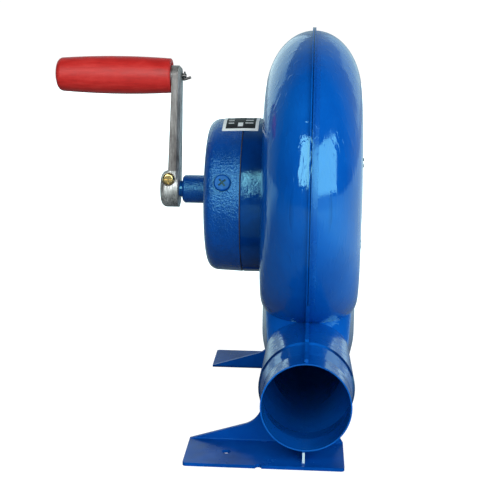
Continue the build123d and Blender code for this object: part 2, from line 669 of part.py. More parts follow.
def gearbox_base():
    """The cast base: it carries the fan shaft's tube and one end of the layshaft."""
    back = -HALF_WIDTH
    inner = DRUM_R - DRUM_WALL - BASE_STEP
    outer = [(SEAM_X, 0), (SEAM_X, DRUM_R), (back, DRUM_R), (back, 0)]
    body = turned(outer)
    edge = body.edges().filter_by(GeomType.CIRCLE).sort_by(Axis.X)[0]
    body = chamfer(edge, BASE_EDGE)
    body -= turned([(SEAM_X - 1, 0), (SEAM_X - 1, inner), (back - BASE_WALL, inner),
                    (back - BASE_WALL, 0)])
    body += rod(TUBE_START_X, TUBE_END_X, TUBE_R)
    body += rod(TUBE_START_X + 0.5, back - 1, LAY_LUG_R, 0, LAY_Z)
    for angle in BOLT_ANGLES:
        y, z = around(angle, BOLT_CIRCLE_R)
        body += rod(SEAM_X, back - 1, LUG_R, y, z) & rod(SEAM_X, back, DRUM_R - 1)
    body -= rod(-60, 0, FAN_BUSH_R)
    body += ring(TUBE_START_X + FAN_BUSH_LENGTH, TUBE_END_X - FAN_BUSH_LENGTH, FAN_BUSH_R + 1,
                 FAN_SHAFT_R + 1.0)
    body -= rod(TUBE_START_X - 0.5, BASE_POCKET_X, LAY_BUSH_R, 0, LAY_Z)
    for angle in BOLT_ANGLES:
        y, z = around(angle, BOLT_CIRCLE_R)
        body -= rod(SEAM_X - 1, back + 1, BOLT_R + BOLT_GAP, y, z)
    return body


def gasket():
    """The paper gasket between the cover and the base."""
    body = ring(SEAM_X - GASKET, SEAM_X, DRUM_R - 0.8, DRUM_R - DRUM_WALL)
    for angle in BOLT_ANGLES:
        y, z = around(angle, BOLT_CIRCLE_R)
        body += rod(SEAM_X - GASKET, SEAM_X, LUG_R, y, z)
    for angle in BOLT_ANGLES:
        y, z = around(angle, BOLT_CIRCLE_R)
        body -= rod(SEAM_X - 2, SEAM_X + 2, BOLT_R + BOLT_GAP, y, z)
    return body


def gearbox_bolts():
    """Four screws from inside the casing that hold shell, base and cover together."""
    bolts = []
    wall = -HALF_WIDTH + SHEET
    for angle in BOLT_ANGLES:
        y, z = around(angle, BOLT_CIRCLE_R)
        shank = rod(BOLT_END_X, wall, BOLT_R - SCREW_GAP, y, z)
        head = hexagon_bar(wall, wall + BOLT_HEAD, BOLT_FLATS, y, z)
        bolts.append(shank + head)
    return Compound(children=bolts)


def bushes():
    """The five plain bearings, by node name."""
    crank = ring(HUB_END_X + 0.6, CRANK_LUG_X, CRANK_BUSH_R, CRANK_SHAFT_R + RUN, 0, CRANK_Z)
    lay_left = ring(LAY_POCKET_X, LAY_LUG_X, LAY_BUSH_R, LAY_SHAFT_R + RUN, 0, LAY_Z)
    lay_right = ring(TUBE_START_X + 0.5, BASE_POCKET_X - 2, LAY_BUSH_R, LAY_SHAFT_R + RUN, 0,
                     LAY_Z)
    outer = ring(TUBE_START_X, TUBE_START_X + FAN_BUSH_LENGTH, FAN_BUSH_R, FAN_SHAFT_R + RUN)
    inner = ring(TUBE_END_X - FAN_BUSH_LENGTH, TUBE_END_X, FAN_BUSH_R, FAN_SHAFT_R + RUN)
    return {
        "crank_bush": crank,
        "layshaft_bush_cover": lay_left,
        "layshaft_bush_base": lay_right,
        "fan_bush_gear_end": outer,
        "fan_bush_fan_end": inner,
    }


def label():
    """A thin curved plate stuck over the top of the gearbox."""
    x0, x1 = LABEL_X
    inner = [(x0, cover_radius(x0)), (SEAM_X, DRUM_R), (x1, DRUM_R)]
    outer = [(x1, DRUM_R + LABEL), (SEAM_X, DRUM_R + LABEL), (x0, cover_radius(x0) + LABEL)]
    a = radians(LABEL_FROM)
    plane = Plane(origin=(0, 0, FAN_Z), x_dir=(1, 0, 0), z_dir=(0, -sin(a), cos(a)))
    face = plane * make_face(Polyline(*inner, *outer, close=True))
    return revolve(face, Axis((0, 0, FAN_Z), (1, 0, 0)), LABEL_TO - LABEL_FROM)


# ---- Impeller ------------------------------------------------------------------------
def blade_tab_x():
    """X of the face where a blade's tab sits on the backplate."""
    return BACKPLATE_X + BACKPLATE


def fan_backplate():
    """The impeller's round plate with its rivet holes."""
    plate = ring(BACKPLATE_X, blade_tab_x(), FAN_R, FAN_HUB_R)
    for blade in range(BLADES):
        for y, z in rivet_places(blade):
            plate -= rod(BACKPLATE_X - 1, blade_tab_x() + 1, RIVET_R, y, z)
    for angle in HUB_RIVET_ANGLES:
        y, z = around(angle, HUB_RIVET_CIRCLE)
        plate -= rod(BACKPLATE_X - 1, blade_tab_x() + 1, RIVET_R, y, z)
    return plate


def blade_line(blade):
    """The (y, z) ends of a blade, which leans back from its root to its tip."""
    start = 360 / BLADES * blade
    root = around(start, BLADE_ROOT_R)
    tip = around(start - BLADE_LEAN, BLADE_TIP_R)
    return root, tip


def blade_plane(blade):
    """A plane through a blade's line: local x runs out along it, local y along +X."""
    (y0, z0), (y1, z1) = blade_line(blade)
    length = hypot(y1 - y0, z1 - z0)
    out = ((y1 - y0) / length, (z1 - z0) / length)
    plane = Plane(origin=(blade_tab_x(), y0, z0), x_dir=(0, *out),
                  z_dir=(0, -out[1], out[0]))
    return plane, length


def rivet_places(blade):
    """The (y, z) of the two rivets through a blade's tab."""
    plane, length = blade_plane(blade)
    for share in RIVET_SHARES:
        p = plane.from_local_coords(Vector(length * share, 0, BLADE_TAB * RIVET_IN_TAB))
        yield p.Y, p.Z


def fan_blade(blade):
    """One bent blade: a leaf across the casing and a tab riveted to the backplate."""
    plane, length = blade_plane(blade)
    up = plane.from_local_coords(Vector(0, 1, 0)) - plane.origin
    sign = 1 if up.X > 0 else -1
    root = (BLADE_ROOT_X - blade_tab_x()) * sign
    tip = (BLADE_TIP_X - blade_tab_x()) * sign
    leaf_face = Polyline((0, 0), (length, 0), (length, tip), (0, root), close=True)
    leaf = extrude(plane * make_face(leaf_face), amount=BLADE)
    tab_face = Polyline((0, 0), (length, 0), (length, BLADE * sign), (0, BLADE * sign),
                        close=True)
    tab = extrude(plane * make_face(tab_face), amount=BLADE_TAB)
    piece = leaf + tab
    for y, z in rivet_places(blade):
        piece -= rod(BACKPLATE_X - 1, blade_tab_x() + 5, RIVET_R, y, z)
    return piece


def fan_blades():
    """All the blades, as separate solids of one node."""
    return Compound(children=[fan_blade(blade) for blade in range(BLADES)])


def rivet(x0, x1, y, z):
    """A rivet along X with a domed head at each end."""
    body = rod(x0, x1, RIVET_R, y, z)
    for x, way in ((x0, -1), (x1, 1)):
        body += rod(x, x + way * RIVET_HEAD, RIVET_HEAD_R, y, z)
    ends = [body.faces().sort_by(Axis.X)[0], body.faces().sort_by(Axis.X)[-1]]
    return fillet(ends[0].edges() + ends[1].edges(), RIVET_ROUND)


def fan_rivets():
    """The rivets of the blades' tabs."""
    rivets = []
    for blade in range(BLADES):
        for y, z in rivet_places(blade):
            rivets.append(rivet(BACKPLATE_X, blade_tab_x() + BLADE, y, z))
    return Compound(children=rivets)


def fan_hub():
    """The impeller's turned hub, flanged behind the backplate."""
    start = BACKPLATE_X - FLANGE_THICKNESS
    body = rod(start, FAN_HUB_END_X, FAN_HUB_R)
    body += rod(start, BACKPLATE_X, FAN_FLANGE_R)
    for angle in HUB_RIVET_ANGLES:
        body -= rod(start - 1, BACKPLATE_X + 1, RIVET_R, *around(angle, HUB_RIVET_CIRCLE))
    return body - rod(start - 1, FAN_HUB_END_X + 1, FAN_SHAFT_R)


def hub_rivets():
    """Four rivets that hold the hub's flange to the backplate."""
    start = BACKPLATE_X - FLANGE_THICKNESS
    rivets = [rivet(start, blade_tab_x(), *around(angle, HUB_RIVET_CIRCLE))
              for angle in HUB_RIVET_ANGLES]
    return Compound(children=rivets)


def fan_washer():
    """The washer under the impeller's nut."""
    return ring(FAN_HUB_END_X, FAN_HUB_END_X + FAN_WASHER, FAN_WASHER_R, FAN_SHAFT_R)


def fan_nut():
    """The nut that holds the impeller on the fan shaft."""
    x0 = FAN_HUB_END_X + 1.2
    return hexagon_bar(x0, x0 + 6.4, 13.0, 0, FAN_Z) - rod(x0 - 1, x0 + 8, 4.0)


# ---- Inlet ---------------------------------------------------------------------------
def inlet_ring():
    """The pressed ring round the air inlet, rolled inwards into a short bell."""
    back, front = HALF_WIDTH, HALF_WIDTH + RING_SHEET
    bell_r = INLET_R - BELL_INSET
    outline = [
        (back, RING_R), (front, RING_R), (front, bell_r), (back - BELL_DEPTH, bell_r),
        (back - BELL_DEPTH, bell_r + RING_SHEET), (back, bell_r + RING_SHEET),
    ]
    body = turned(outline)
    edges = body.edges().filter_by(GeomType.CIRCLE).filter_by(
        lambda e: abs(e.radius - bell_r) < NEAR and abs(e.center().X - front) < NEAR
    )
    body = fillet(edges, BELL_ROUND)
    for angle in BOLT_ANGLES:
        body -= rod(back - 1, front + 1, SCREW_CLEAR_R, *around(angle, RING_SCREW_CIRCLE))
    return body


def ring_screws():
    """Four low cross-recessed screws that hold the inlet ring."""
    screws = []
    face = HALF_WIDTH + RING_SHEET
    long, wide = SCREW_CROSS
    cross = Rectangle(long, wide) + Rectangle(wide, long)
    for angle in BOLT_ANGLES:
        y, z = around(angle, RING_SCREW_CIRCLE)
        head = rod(face, face + SCREW_HEAD, SCREW_HEAD_R, y, z)
        head = fillet(head.faces().sort_by(Axis.X)[-1].edges(), SCREW_HEAD_ROUND)
        floor = Plane(origin=(face + SCREW_CROSS_FLOOR, y, z), z_dir=(1, 0, 0))
        slot = extrude(floor * cross, amount=SCREW_HEAD)
        screws.append(head + rod(face - SCREW_LENGTH, face, SCREW_R, y, z) - slot)
    return Compound(children=screws)


# ---- Crank and grip ------------------------------------------------------------------
def crank_shaft():
    """The crank shaft, from the clamp to the large wheel."""
    body = rod(BOSS_OUT_X + SHAFT_SUNK, CRANK_GEAR_X[1] + SHAFT_PAST, CRANK_SHAFT_R, 0, CRANK_Z)
    ends = [body.faces().sort_by(Axis.X)[0], body.faces().sort_by(Axis.X)[-1]]
    return chamfer(ends[0].edges() + ends[1].edges(), SHAFT_BEVEL)


def arm_side():
    """The arm's outline seen along the shaft: a round eye on a bar that widens downwards."""
    spread = asin((ARM_FOOT_R - EYE_R) / (GRIP_Z - CRANK_Z))
    corners = []
    for radius, z in ((EYE_R, GRIP_Z), (ARM_FOOT_R, CRANK_Z)):
        corners.append((radius * cos(spread), z + radius * sin(spread)))
    (eye_y, eye_z), (foot_y, foot_z) = corners
    bar = Polyline((-eye_y, eye_z), (eye_y, eye_z), (foot_y, foot_z), (-foot_y, foot_z),
                   close=True)
    return make_face(bar) + Pos(0, GRIP_Z) * Circle(EYE_R) + Pos(0, CRANK_Z) * Circle(
        ARM_FOOT_R)


def clamp_plane(y):
    """A plane across the clamp bolt's axis, facing +Y."""
    return Plane(origin=(CLAMP_X, y, CLAMP_Z), x_dir=(1, 0, 0), z_dir=(0, 1, 0))


def crank_arm():
    """The cast arm: it clamps on the shaft and carries the grip's spindle."""
    side = Plane.YZ * arm_side()
    blank = extrude(Pos(-130, 0, 0) * side, amount=30, dir=(1, 0, 0))
    top, low = GRIP_Z + EYE_R + 2, CRANK_Z - BOSS_R - 2
    front = [
        (ARM_IN_BOTTOM, low), (ARM_IN_TOP, GRIP_Z - ARM_BEND), (ARM_IN_TOP, top),
        (ARM_OUT_TOP, top), (ARM_OUT_TOP, GRIP_Z - ARM_BEND), (ARM_OUT_BOTTOM, low),
    ]
    plane = Plane(origin=(0, 30, 0), x_dir=(1, 0, 0), z_dir=(0, -1, 0))
    body = blank & extrude(plane * make_face(Polyline(*front, close=True)), amount=60)
    long_edges = body.edges().filter_by(
        lambda e: e.center().X > ARM_OUT_TOP and e.length > (GRIP_Z - CRANK_Z) / 2
    )
    body = chamfer(long_edges, ARM_BEVEL)
    boss = rod(BOSS_OUT_X, ARM_IN_BOTTOM, BOSS_R, 0, CRANK_Z)
    boss = fillet(boss.faces().sort_by(Axis.X)[0].edges(), BOSS_ROUND)
    body += boss
    body -= rod(BOSS_OUT_X - 1, -100, CRANK_SHAFT_R, 0, CRANK_Z)
    body -= rod(BOSS_OUT_X - 1, -100, SPINDLE_R + RUN, 0, GRIP_Z)
    body -= block(-130, -100, -SLIT / 2, SLIT / 2, CRANK_Z, CRANK_Z + SLIT_DEPTH)
    body -= extrude(clamp_plane(-30) * Circle(CLAMP_R), amount=60)
    body -= extrude(clamp_plane(-30) * Circle(CLAMP_SEAT_R), amount=30 - CLAMP_FLAT)
    return body - extrude(clamp_plane(CLAMP_FLAT) * Circle(CLAMP_SEAT_R), amount=20)


def clamp_bolt():
    """The yellow-plated pan-head bolt that closes the arm's slit on the shaft."""
    seat = clamp_plane(-CLAMP_FLAT)
    shank = extrude(seat * Circle(CLAMP_R - SCREW_GAP), amount=2 * CLAMP_FLAT + CLAMP_PAST)
    head = extrude(seat * Circle(CLAMP_HEAD_R), amount=-CLAMP_HEAD)
    head = fillet(head.faces().sort_by(Axis.Y)[0].edges(), CLAMP_ROUND)
    long, wide = CLAMP_CROSS
    cross = Rectangle(long, wide) + Rectangle(wide, long)
    floor = clamp_plane(-CLAMP_FLAT - CLAMP_CROSS_FLOOR)
    return shank + head - extrude(floor * cross, amount=-CLAMP_HEAD)


def clamp_nut():
    """The clamp bolt's nut."""
    plane = clamp_plane(CLAMP_FLAT)
    nut = extrude(plane * RegularPolygon(NUT_FLATS / sqrt(3), 6), amount=NUT_HEIGHT)
    return nut - extrude(plane * Circle(CLAMP_R), amount=NUT_HEIGHT + 1)


def grip():
    """The turned grip, barrel-shaped and closed at its outer end."""
    bore_end = GRIP_END_X + GRIP_CAP
    seat = GRIP_HEAD_X - GRIP_RECESS
    middle = (GRIP_END_X + GRIP_HEAD_X) / 2
    r_end = GRIP_R_ENDS - GRIP_END_DROP
    nose = (GRIP_END_X + GRIP_NOSE[0], r_end - GRIP_NOSE[1])
    round_start = (GRIP_END_X, r_end - GRIP_CORNER)
    round_end = (GRIP_END_X + GRIP_CORNER, r_end)
    edge_start = (GRIP_HEAD_X - GRIP_EDGE, GRIP_R_ENDS)
    edge_end = (GRIP_HEAD_X, GRIP_R_ENDS - GRIP_EDGE)
    mouth_r, seat_r = GRIP_SEAT_R
    outline = [
        Line((GRIP_END_X, 0), round_start),
        ThreePointArc(round_start, nose, round_end),
        ThreePointArc(round_end, (middle, GRIP_R_MIDDLE), edge_start),
        Line(edge_start, edge_end),
        Line(edge_end, (GRIP_HEAD_X, mouth_r)),
        Line((GRIP_HEAD_X, mouth_r), (seat, seat_r)),
        Line((seat, seat_r), (seat, SPINDLE_R)),
        Line((seat, SPINDLE_R), (bore_end, SPINDLE_R)),
        Line((bore_end, SPINDLE_R), (bore_end, 0)),
        Line((bore_end, 0), (GRIP_END_X, 0)),
    ]
    plane = Plane(origin=(0, 0, GRIP_Z), x_dir=(1, 0, 0), z_dir=(0, 0, 1))
    return revolve(plane * make_face(outline), Axis((0, 0, GRIP_Z), (1, 0, 0)), 360)


def spindle():
    """The grip's steel spindle. Its thin inner end is drilled for the split pin."""
    body = rod(GRIP_END_X + GRIP_CAP, ARM_IN_TOP, SPINDLE_R, 0, GRIP_Z)
    body += rod(ARM_IN_TOP, SPINDLE_END_X, TAIL_R, 0, GRIP_Z)
    body = chamfer(body.faces().sort_by(Axis.X)[-1].edges(), 0.5)
    hole = extrude(pin_frame().offset(-SPINDLE_R) * Circle(PIN_R + SCREW_GAP), amount=2 * SPINDLE_R)
    return body - hole


def pin_frame():
    """The split pin's plane: local z runs forwards along the pin, hanging a little."""
    lean = radians(PIN_LEAN)
    way = Vector(0, -cos(lean), -sin(lean))
    return Plane(origin=(PIN_X, 0, GRIP_Z), x_dir=(1, 0, 0), z_dir=way)


def split_pin():
    """A split pin with its eye behind and its legs bent inwards and up in front."""
    frame = pin_frame()
    back = frame.from_local_coords(Vector(0, 0, -PIN_BACK))
    front = frame.from_local_coords(Vector(0, 0, PIN_FRONT))
    path = FilletPolyline(back, front, front + Vector(*PIN_LEGS), radius=PIN_BEND_R)
    start = Plane(origin=path @ 0, z_dir=path % 0)
    wire = sweep(start * Circle(PIN_R), path=path)
    eye = frame.from_local_coords(Vector(0, 0, -PIN_BACK - PIN_EYE_R / 2))
    return wire + Plane(origin=eye, z_dir=frame.x_dir) * Torus(PIN_EYE_R, PIN_EYE_WIRE_R)


def grip_washer():
    """The plain washer between the grip and the arm."""
    return ring(GRIP_HEAD_X - GRIP_RECESS, ARM_OUT_TOP - 0.1, GRIP_WASHER_R, SPINDLE_R, 0, GRIP_Z)


# ---- Export --------------------------------------------------------------------------
def all_nodes():
    """Every node's shape, by name, in the design frame."""
    sheets, casing, outline = shells()
    hem_face = offset(outline, HEM_HEIGHT)
    nodes = {
        **sheets,
        "front_foot": foot(casing, hem_face, FRONT_WEB_Y, -1),
        "rear_foot": foot(casing, hem_face, REAR_WEB_Y, 1),
        "gearbox_base": gearbox_base(),
        "gearbox_cover": gearbox_cover(),
        "gearbox_gasket": gasket(),
        "gearbox_bolts": gearbox_bolts(),
        "oil_plug": oil_plug(),
        "label_plate": label(),
        "crank_wheel": crank_wheel(),
        "crank_shaft": crank_shaft(),
        "layshaft_pinion": lay_shaft(),
        "layshaft_wheel": lay_wheel(),
        "fan_shaft_pinion": fan_shaft(),
        "fan_hub": fan_hub(),
        "fan_backplate": fan_backplate(),
        "fan_blades": fan_blades(),
        "fan_blade_rivets": fan_rivets(),
        "fan_hub_rivets": hub_rivets(),
        "fan_washer": fan_washer(),
        "fan_nut": fan_nut(),
        "inlet_ring": inlet_ring(),
        "inlet_ring_screws": ring_screws(),
        "crank_arm": crank_arm(),
        "clamp_bolt": clamp_bolt(),
        "clamp_nut": clamp_nut(),
        "grip": grip(),
        "grip_spindle": spindle(),
        "split_pin": split_pin(),
        "grip_washer": grip_washer(),
    }
    nodes.update(bushes())
    return nodes


def main():
    os.makedirs("parts", exist_ok=True)
    for name, shape in all_nodes().items():
        export_step(Pos(*ORIGIN_SHIFT) * shape, f"parts/{name}.step")


main()
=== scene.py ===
"""Looks of the hand-cranked forge blower: enamel, castings, bare steel, grip and light."""

from math import cos, radians, sin

import bpy
from mathutils import Matrix, Vector


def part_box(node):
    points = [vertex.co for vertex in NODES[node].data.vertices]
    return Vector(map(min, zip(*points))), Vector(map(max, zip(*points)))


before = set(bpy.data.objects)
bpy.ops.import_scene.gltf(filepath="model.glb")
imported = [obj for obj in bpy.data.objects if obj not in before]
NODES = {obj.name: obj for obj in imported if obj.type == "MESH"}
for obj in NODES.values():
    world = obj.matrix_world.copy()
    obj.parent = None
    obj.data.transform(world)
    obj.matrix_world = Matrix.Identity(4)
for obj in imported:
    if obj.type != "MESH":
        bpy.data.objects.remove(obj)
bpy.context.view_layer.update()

MM = 0.001


# ---- Places on the object ------------------------------------------------------------
def middle(node):
    """The middle of a node's box."""
    low, high = (Vector(corner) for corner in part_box(node))
    return (low + high) / 2


SEAM_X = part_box("casing_shell_gear_side")[1][0]
FAN_AXIS = middle("fan_backplate")
CRANK_AXIS = middle("crank_shaft")
SPIGOT_STEP_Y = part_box("outlet_spigot_gear_side")[1][1]


# ---- Material building ---------------------------------------------------------------
class Nodes:
    """A node tree with the few helpers that the finishes and the surround share."""

    def __init__(self, tree):
        self.tree = tree

    def node(self, kind, **settings):
        made = self.tree.nodes.new(kind)
        for key, value in settings.items():
            setattr(made, key, value)
        return made

    def link(self, source, target):
        self.tree.links.new(source, target)

    def range(self, value, low, high, new_low=0.0, new_high=1.0):
        """Maps a value from one range to another, held at both ends."""
        made = self.node("ShaderNodeMapRange")
        for socket, number in zip(("From Min", "From Max", "To Min", "To Max"),
                                  (low, high, new_low, new_high)):
            made.inputs[socket].default_value = number
        self.link(value, made.inputs["Value"])
        return made.outputs["Result"]

    def math(self, operation, first, second=0.0):
        made = self.node("ShaderNodeMath", operation=operation)
        for socket, value in zip(made.inputs, (first, second)):
            if isinstance(value, (int, float)):
                socket.default_value = value
            else:
                self.link(value, socket)
        return made.outputs["Value"]

    def total(self, *values):
        """The sum of several values."""
        whole = values[0]
        for value in values[1:]:
            whole = self.math("ADD", whole, value)
        return whole

    def overlap(self, *masks):
        """1 where all of the masks are 1."""
        whole = masks[0]
        for mask in masks[1:]:
            whole = self.math("MULTIPLY", whole, mask)
        return whole

    def between(self, value, low, high):
        """1 where a value lies between two numbers, and 0 elsewhere."""
        after = self.math("GREATER_THAN", value, low)
        return self.overlap(after, self.math("LESS_THAN", value, high))

    def seen_or_cast(self, seen, cast):
        """One shader for the camera, and another for every other ray."""
        path = self.node("ShaderNodeLightPath")
        pick = self.node("ShaderNodeMixShader")
        self.link(path.outputs["Is Camera Ray"], pick.inputs["Fac"])
        self.link(cast, pick.inputs[1])
        self.link(seen, pick.inputs[2])
        return pick.outputs[0]


class Finish(Nodes):
    """A material made of nodes on a Principled shader, in the object's coordinates."""

    def __init__(self, name, **sockets):
        self.material = bpy.data.materials.new(name)
        self.material.use_nodes = True
        super().__init__(self.material.node_tree)
        self.shader = self.tree.nodes["Principled BSDF"]
        for socket, value in sockets.items():
            self.shader.inputs[socket.replace("_", " ")].default_value = value

    def place(self, stretch=(1, 1, 1)):
        """Object coordinates in metres, stretched so that patterns can run one way."""
        coordinates = self.node("ShaderNodeTexCoord")
        mapping = self.node("ShaderNodeMapping")
        mapping.inputs["Scale"].default_value = stretch
        self.link(coordinates.outputs["Object"], mapping.inputs["Vector"])
        return mapping.outputs["Vector"]

    def noise(self, place, scale, detail=3.0, roughness=0.5, distortion=0.0):
        """Noise from 0 to 1, with about scale blotches to the metre."""
        made = self.node("ShaderNodeTexNoise")
        made.inputs["Scale"].default_value = scale
        made.inputs["Detail"].default_value = detail
        made.inputs["Roughness"].default_value = roughness
        made.inputs["Distortion"].default_value = distortion
        self.link(place, made.inputs["Vector"])
        return made.outputs["Fac"]

    def colours(self, factor, *stops):
        """A colour ramp with (position, (r, g, b)) stops."""
        made = self.node("ShaderNodeValToRGB")
        ramp = made.color_ramp
        while len(ramp.elements) < len(stops):
            ramp.elements.new(1.0)
        for element, (position, colour) in zip(ramp.elements, stops):
            element.position = position
            element.color = (*colour, 1.0)
        self.link(factor, made.inputs["Fac"])
        return made.outputs["Color"]

    def along(self, axis):
        """One object coordinate, in metres."""
        split = self.node("ShaderNodeSeparateXYZ")
        self.link(self.place(), split.inputs["Vector"])
        return split.outputs[axis]

    def facing(self, axis):
        """One part of the direction that the surface faces."""
        split = self.node("ShaderNodeSeparateXYZ")
        coordinates = self.node("ShaderNodeTexCoord")
        self.link(coordinates.outputs["Normal"], split.inputs["Vector"])
        return split.outputs[axis]

    def mix(self, factor, first, second):
        """Mixes two colours. Each is an output or an (r, g, b)."""
        made = self.node("ShaderNodeMix", data_type="RGBA")
        self.link(factor, made.inputs["Factor"])
        for socket, value in ((made.inputs[6], first), (made.inputs[7], second)):
            if isinstance(value, tuple):
                socket.default_value = (*value, 1.0)
            else:
                self.link(value, socket)
        return made.outputs[2]

    def colour(self, source):
        self.link(source, self.shader.inputs["Base Color"])

    def roughness(self, source):
        self.link(source, self.shader.inputs["Roughness"])

    def bump(self, height, depth, under=None):
        """Raises the surface by depth metres where height is 1, over another bump."""
        made = self.node("ShaderNodeBump")
        made.inputs["Strength"].default_value = 1.0
        made.inputs["Distance"].default_value = depth
        self.link(height, made.inputs["Height"])
        if under is not None:
            self.link(under, made.inputs["Normal"])
        return made.outputs["Normal"]

    def normal(self, source):
        self.link(source, self.shader.inputs["Normal"])


# ---- Finishes ------------------------------------------------------------------------
DEEP_BLUE = (0.001, 0.058, 0.330)
BLUE = (0.001, 0.078, 0.400)
PALE_BLUE = (0.002, 0.105, 0.480)
# a little darker than BLUE: painted shade on the seam's crest
CREST_SHADE_BLUE = (0.001, 0.068, 0.365)
SHADE_BLUE = (0.000, 0.018, 0.110)
DARK_BLUE = (0.000, 0.036, 0.215)
GLOSS_TINT = (0.30, 0.85, 1.0, 1.0)
# painted shade for recesses
RECESS_SHADE = (0.004, 0.008, 0.020)
FRONT_SHADE = (0.10, 0.08, 0.08)  # painted shade on the front face of the crank arm
BOSS_REACH = 16 * MM  # the arm's boss ends below this height over the crank's axis
FRONT_FACING = -0.9  # a surface faces the front where its direction has a lower Y
PLUG_FACE, PLUG_RIM = 3.3 * MM, 1.9 * MM  # heights over the plug's middle
PLUG_CROSS = 4.0 * MM  # reach of its recess from its axis
GLOSS_IOR = 1.8
SEAM_LINE = (-0.9 * MM, 0.0)  # reach of the painted shade along the hemmed seam's edge
SEAM_CREST = (0.0, 4.6 * MM)  # reach of the rubbed, duller band along its crest, its colour a painted shade
CREST_HEIGHT = 0.5 * MM  # how far that band seems to stand out
RUBBED = 0.17  # its added roughness
SEAM_LOW = 100 * MM  # the seam is tidy below this height
STEP_SHADE = (-0.6 * MM, 1.6 * MM)  # reach of the painted shade, a dark ring, in the step between neck and spigot
STEP_SIDES = (12 * MM, 20 * MM)  # it starts this far from the seam
HEM_HIGHLIGHT = (-1.7 * MM, 0.5 * MM)  # a pale painted highlight on the hem under the spigot
HEM_HIGHLIGHT_TOP = 10.4 * MM  # the painted highlight reaches up to here
# the pale steel colour of that painted highlight
HEM_HIGHLIGHT_COLOUR = (0.55, 0.66, 0.72)


def around_seam(paint, reach):
    """1 in a band along the casing's seam, from one distance in X to another."""
    return paint.between(paint.along("X"), SEAM_X + reach[0], SEAM_X + reach[1])


def seam_crest(paint):
    """The rubbed band along the seam, above the neck, its colour a painted shade."""
    high = paint.math("GREATER_THAN", paint.along("Z"), SEAM_LOW)
    return paint.overlap(around_seam(paint, SEAM_CREST), high)


def seam_marks(paint, blues):
    """Marks on the casing: painted shade along its seam, on its crest and in the neck's step, and a
    painted highlight on the low hem.
    """
    high = paint.math("GREATER_THAN", paint.along("Z"), SEAM_LOW)
    # a dark line along the hem's edge: painted shade
    line = paint.overlap(around_seam(paint, SEAM_LINE), high)
    aside = paint.math("ABSOLUTE", paint.math("SUBTRACT", paint.along("X"), SEAM_X))
    step = paint.between(paint.along("Y"), *(SPIGOT_STEP_Y + reach for reach in STEP_SHADE))
    # the dark ring in the neck's step: painted shade
    groove = paint.overlap(step, paint.range(aside, *STEP_SIDES))
    # the pale strip on the hem's front face: painted highlight
    hem_highlight = paint.overlap(
        around_seam(paint, HEM_HIGHLIGHT),
        paint.math("LESS_THAN", paint.along("Z"), HEM_HIGHLIGHT_TOP),
        paint.math("LESS_THAN", paint.along("Y"), SPIGOT_STEP_Y),
        paint.math("LESS_THAN", paint.facing("Y"), FRONT_FACING),
    )
    marks = ((seam_crest(paint), CREST_SHADE_BLUE), (line, SHADE_BLUE), (groove, SHADE_BLUE),
             (hem_highlight, HEM_HIGHLIGHT_COLOUR))
    for mark, colour in marks:
        blues = paint.mix(mark, blues, colour)
    return blues


def enamel(name, seam=False):
    """Sprayed gloss enamel on sheet steel: a little orange peel, and runs that hang down."""
    paint = Finish(name, IOR=GLOSS_IOR, Specular_Tint=GLOSS_TINT)
    coverage = paint.noise(paint.place(), 14.0, 4.0, 0.55)
    blues = paint.colours(coverage, (0.3, DEEP_BLUE), (0.5, BLUE), (0.75, PALE_BLUE))
    gloss = paint.range(paint.noise(paint.place(), 90.0), 0.3, 0.7, 0.05, 0.14)
    waves = paint.bump(paint.noise(paint.place((1.0, 1.0, 0.35)), 70.0, 1.5), 0.35 * MM)
    runs = paint.noise(paint.place((1.0, 1.0, 0.14)), 260.0, 2.0, 0.5, 0.6)
    runs = paint.bump(paint.range(runs, 0.55, 0.75), 0.12 * MM, waves)
    peel = paint.bump(paint.noise(paint.place(), 900.0, 1.0), 0.02 * MM, runs)
    if seam:
        crest = seam_crest(paint)
        blues = seam_marks(paint, blues)
        gloss = paint.total(gloss, paint.math("MULTIPLY", crest, RUBBED))
        peel = paint.bump(crest, CREST_HEIGHT, peel)
    paint.colour(blues)
    paint.roughness(gloss)
    paint.normal(peel)
    return paint.material


def thin_enamel():
    """The thinner, duller coat on the bent feet."""
    paint = Finish("thin_enamel", IOR=1.22, Specular_Tint=GLOSS_TINT)
    coverage = paint.noise(paint.place(), 22.0, 4.0, 0.6)
    paint.colour(paint.colours(coverage, (0.3, DARK_BLUE), (0.5, DEEP_BLUE), (0.8, BLUE)))
    paint.roughness(paint.range(paint.noise(paint.place(), 60.0), 0.3, 0.7, 0.15, 0.3))
    waves = paint.noise(paint.place(), 45.0, 2.0)
    paint.normal(paint.bump(waves, 0.4 * MM))
    return paint.material


def plug_enamel():
    """Enamel on the plug, with painted shade in its cross recess and under its rim.

    The plug points away from the fan's axis. Places on it are told by their height that way
    and by their distance from the plug's own axis."""
    paint = Finish("plug_enamel", IOR=1.4, Specular_Tint=GLOSS_TINT)
    centre = middle("oil_plug")
    ahead = (centre - Vector((centre.x, FAN_AXIS.y, FAN_AXIS.z))).normalized()
    parts = [paint.math("SUBTRACT", paint.along(axis), start) for axis, start in zip("XYZ", centre)]
    height = paint.total(*(paint.math("MULTIPLY", part, way) for part, way in zip(parts, ahead)))
    square = paint.total(*(paint.math("MULTIPLY", part, part) for part in parts))
    aside_square = paint.math("SUBTRACT", square, paint.math("MULTIPLY", height, height))
    sunk = paint.math("LESS_THAN", height, PLUG_FACE)
    near = paint.math("LESS_THAN", aside_square, PLUG_CROSS ** 2)
    under = paint.math("LESS_THAN", height, PLUG_RIM)
    # painted shade: the cross recess and the ring under the rim
    recess_shade = paint.math("MAXIMUM", paint.overlap(sunk, near), under)
    coverage = paint.noise(paint.place(), 200.0, 3.0)
    blues = paint.colours(coverage, (0.3, DARK_BLUE), (0.6, DEEP_BLUE), (0.8, BLUE))
    paint.colour(paint.mix(recess_shade, blues, RECESS_SHADE))
    paint.roughness(paint.range(coverage, 0.3, 0.7, 0.15, 0.3))
    paint.normal(paint.bump(coverage, 0.1 * MM))
    return paint.material


